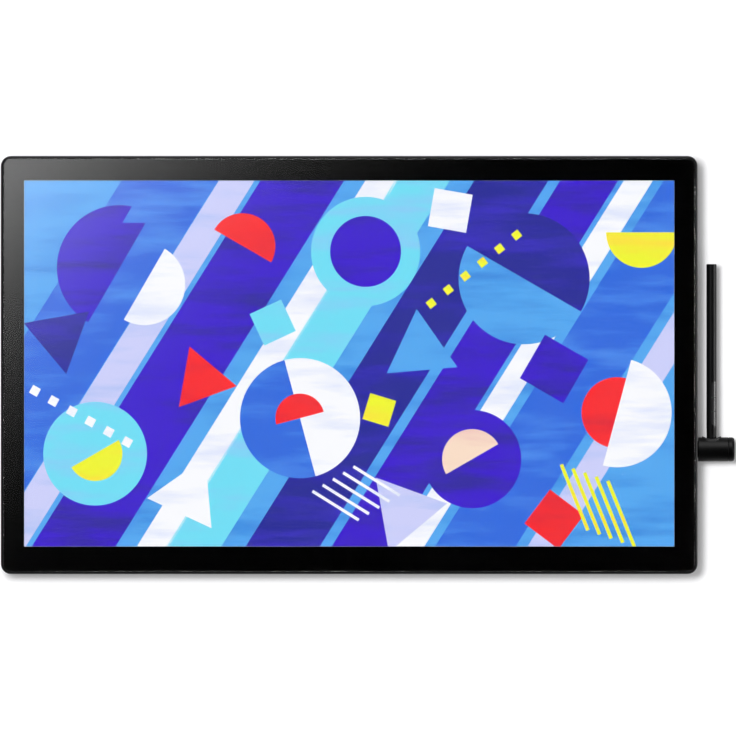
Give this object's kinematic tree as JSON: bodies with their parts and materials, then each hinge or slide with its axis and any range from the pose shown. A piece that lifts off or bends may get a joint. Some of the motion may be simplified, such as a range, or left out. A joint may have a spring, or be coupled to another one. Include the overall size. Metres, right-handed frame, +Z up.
{
  "type": "graphics tablet with screen",
  "caption": "Flat pen display tablet with a glass front, rear keys, fold-out legs and a swivelling side holder with a pen standing in it.",
  "frame": {"origin": "on the table, below the middle of the box that holds the tablet and its pen holder", "axes": "+X along the width to the pen holder, +Y to the tablet's top edge, +Z up through the screen"},
  "size_m": [0.5372, 0.306, 0.023],
  "materials": {
    "screen_glass": "etched clear",
    "black_tape": "black film",
    "clear_bond": "clear",
    "screen_panel": "lit picture",
    "white_film": "diffuse white",
    "clear_guide": "clear",
    "circuit_board": "solder mask",
    "sheet_steel": "plated",
    "chassis_aluminium": "pressed",
    "rim_metal": "satin black",
    "case_plastic": "fine grain",
    "leg_plastic": "fine grain",
    "screw_steel": "blackened",
    "foot_rubber": "matt",
    "chip_black": "moulded",
    "socket_steel": "nickel",
    "cable_film": "film",
    "fin_copper": "copper",
    "button_plastic": "satin",
    "key_plastic": "satin",
    "holder_plastic": "satin black",
    "collar_rubber": "matt",
    "nib_plastic": "hard plastic",
    "pen_plastic": "soft satin",
    "pen_switch_plastic": "gloss"
  },
  "bodies": {
    "case": {"cover_glass": "screen_glass", "glass_tape": "black_tape", "optical_bond": "clear_bond", "lcd_cell": "screen_panel", "film_stack": "white_film", "light_guide": "clear_guide", "led_bar": "circuit_board", "backlight_tray": "sheet_steel", "digitizer_sensor": "circuit_board", "shield_plate": "sheet_steel", "chassis_plate": "chassis_aluminium", "front_frame": "rim_metal", "rear_cover": "case_plastic", "mount_posts": "sheet_steel", "case_screws": "screw_steel", "foot_strips": "foot_rubber", "main_board": "circuit_board", "board_chips": "chip_black", "usb_ports": "socket_steel", "hdmi_port": "socket_steel", "panel_board": "circuit_board", "digitizer_board": "circuit_board", "board_screws": "screw_steel", "flat_cable": "cable_film", "fan_housing": "chip_black", "fin_stack": "fin_copper", "heat_pipe": "fin_copper", "leg_pins": "screw_steel", "key_boards": "circuit_board", "side_switch_board": "circuit_board", "dock_sockets": "socket_steel", "holder_stem": "holder_plastic"},
    "holder": {"holder_barrel": "holder_plastic", "holder_collar": "collar_rubber", "holder_washer": "foot_rubber"},
    "nib_drawer": {"nib_drawer": "holder_plastic", "spare_nibs": "nib_plastic"},
    "pen": {"pen_barrel": "pen_plastic", "pen_core": "circuit_board", "pen_tail_cap": "pen_plastic"},
    "nib": {"pen_nib": "nib_plastic"},
    "pen_switch_rear": {"pen_switch_rear": "pen_switch_plastic"},
    "pen_switch_middle": {"pen_switch_middle": "pen_switch_plastic"},
    "pen_switch_front": {"pen_switch_front": "pen_switch_plastic"},
    "power_button": {"power_button": "button_plastic"},
    "touch_slider": {"touch_slider": "button_plastic"},
    "fan_rotor": {"fan_rotor": "chip_black"},
    "left_leg": {"left_leg": "leg_plastic", "left_leg_pad": "foot_rubber"},
    "right_leg": {"right_leg": "leg_plastic", "right_leg_pad": "foot_rubber"},
    "left_key_1": {"left_key_1": "key_plastic"},
    "left_key_2": {"left_key_2": "key_plastic"},
    "left_key_3": {"left_key_3": "key_plastic"},
    "left_key_4": {"left_key_4": "key_plastic"},
    "right_key_1": {"right_key_1": "key_plastic"},
    "right_key_2": {"right_key_2": "key_plastic"},
    "right_key_3": {"right_key_3": "key_plastic"},
    "right_key_4": {"right_key_4": "key_plastic"}
  },
  "joints": [
    {"name": "holder_swivel", "type": "hinge", "parent": "case", "child": "holder", "pos_m": [0.24135, -0.0618, 0.0125], "axis": [1, 0, 0], "range_deg": [0, 90]},
    {"name": "pen_lift", "type": "slide", "parent": "holder", "child": "pen", "axis": [0, 1, 0], "range_m": [0, 0.03]},
    {"name": "nib_press", "type": "slide", "parent": "pen", "child": "nib", "axis": [0, 1, 0], "range_m": [0, 0.0005], "stiffness_N_per_m": 600},
    {"name": "pen_switch_rear_press", "type": "slide", "parent": "pen", "child": "pen_switch_rear", "axis": [-0.5736, 0, -0.8192], "range_m": [0, 0.0003], "stiffness_N_per_m": 1200},
    {"name": "pen_switch_middle_press", "type": "slide", "parent": "pen", "child": "pen_switch_middle", "axis": [-0.5736, 0, -0.8192], "range_m": [0, 0.0003], "stiffness_N_per_m": 1200},
    {"name": "pen_switch_front_press", "type": "slide", "parent": "pen", "child": "pen_switch_front", "axis": [-0.5736, 0, -0.8192], "range_m": [0, 0.0003], "stiffness_N_per_m": 1200},
    {"name": "nib_drawer_pull", "type": "slide", "parent": "holder", "child": "nib_drawer", "axis": [1, 0, 0], "range_m": [0, 0.012]},
    {"name": "power_button_press", "type": "slide", "parent": "case", "child": "power_button", "axis": [0, -1, 0], "range_m": [0, 0.0006], "stiffness_N_per_m": 1500},
    {"name": "touch_slider_move", "type": "slide", "parent": "case", "child": "touch_slider", "axis": [1, 0, 0], "range_m": [0, 0.003]},
    {"name": "left_key_1_press", "type": "slide", "parent": "case", "child": "left_key_1", "axis": [0.3511, 0, 0.9363], "range_m": [0, 0.0005], "stiffness_N_per_m": 1200},
    {"name": "left_key_2_press", "type": "slide", "parent": "case", "child": "left_key_2", "axis": [0.3511, 0, 0.9363], "range_m": [0, 0.0005], "stiffness_N_per_m": 1200},
    {"name": "left_key_3_press", "type": "slide", "parent": "case", "child": "left_key_3", "axis": [0.3511, 0, 0.9363], "range_m": [0, 0.0005], "stiffness_N_per_m": 1200},
    {"name": "left_key_4_press", "type": "slide", "parent": "case", "child": "left_key_4", "axis": [0.3511, 0, 0.9363], "range_m": [0, 0.0005], "stiffness_N_per_m": 1200},
    {"name": "right_key_1_press", "type": "slide", "parent": "case", "child": "right_key_1", "axis": [-0.3511, 0, 0.9363], "range_m": [0, 0.0005], "stiffness_N_per_m": 1200},
    {"name": "right_key_2_press", "type": "slide", "parent": "case", "child": "right_key_2", "axis": [-0.3511, 0, 0.9363], "range_m": [0, 0.0005], "stiffness_N_per_m": 1200},
    {"name": "right_key_3_press", "type": "slide", "parent": "case", "child": "right_key_3", "axis": [-0.3511, 0, 0.9363], "range_m": [0, 0.0005], "stiffness_N_per_m": 1200},
    {"name": "right_key_4_press", "type": "slide", "parent": "case", "child": "right_key_4", "axis": [-0.3511, 0, 0.9363], "range_m": [0, 0.0005], "stiffness_N_per_m": 1200},
    {"name": "left_leg_fold", "type": "hinge", "parent": "case", "child": "left_leg", "pos_m": [-0.16365, 0.09, 0.0053], "axis": [1, 0, 0], "range_deg": [0, 70]},
    {"name": "right_leg_fold", "type": "hinge", "parent": "case", "child": "right_leg", "pos_m": [0.13635, 0.09, 0.0053], "axis": [1, 0, 0], "range_deg": [0, 70]},
    {"name": "fan_spin", "type": "hinge", "parent": "case", "child": "fan_rotor", "pos_m": [-0.16365, 0.1165, 0.0089], "axis": [0, 0, 1], "continuous": true}
  ]
}
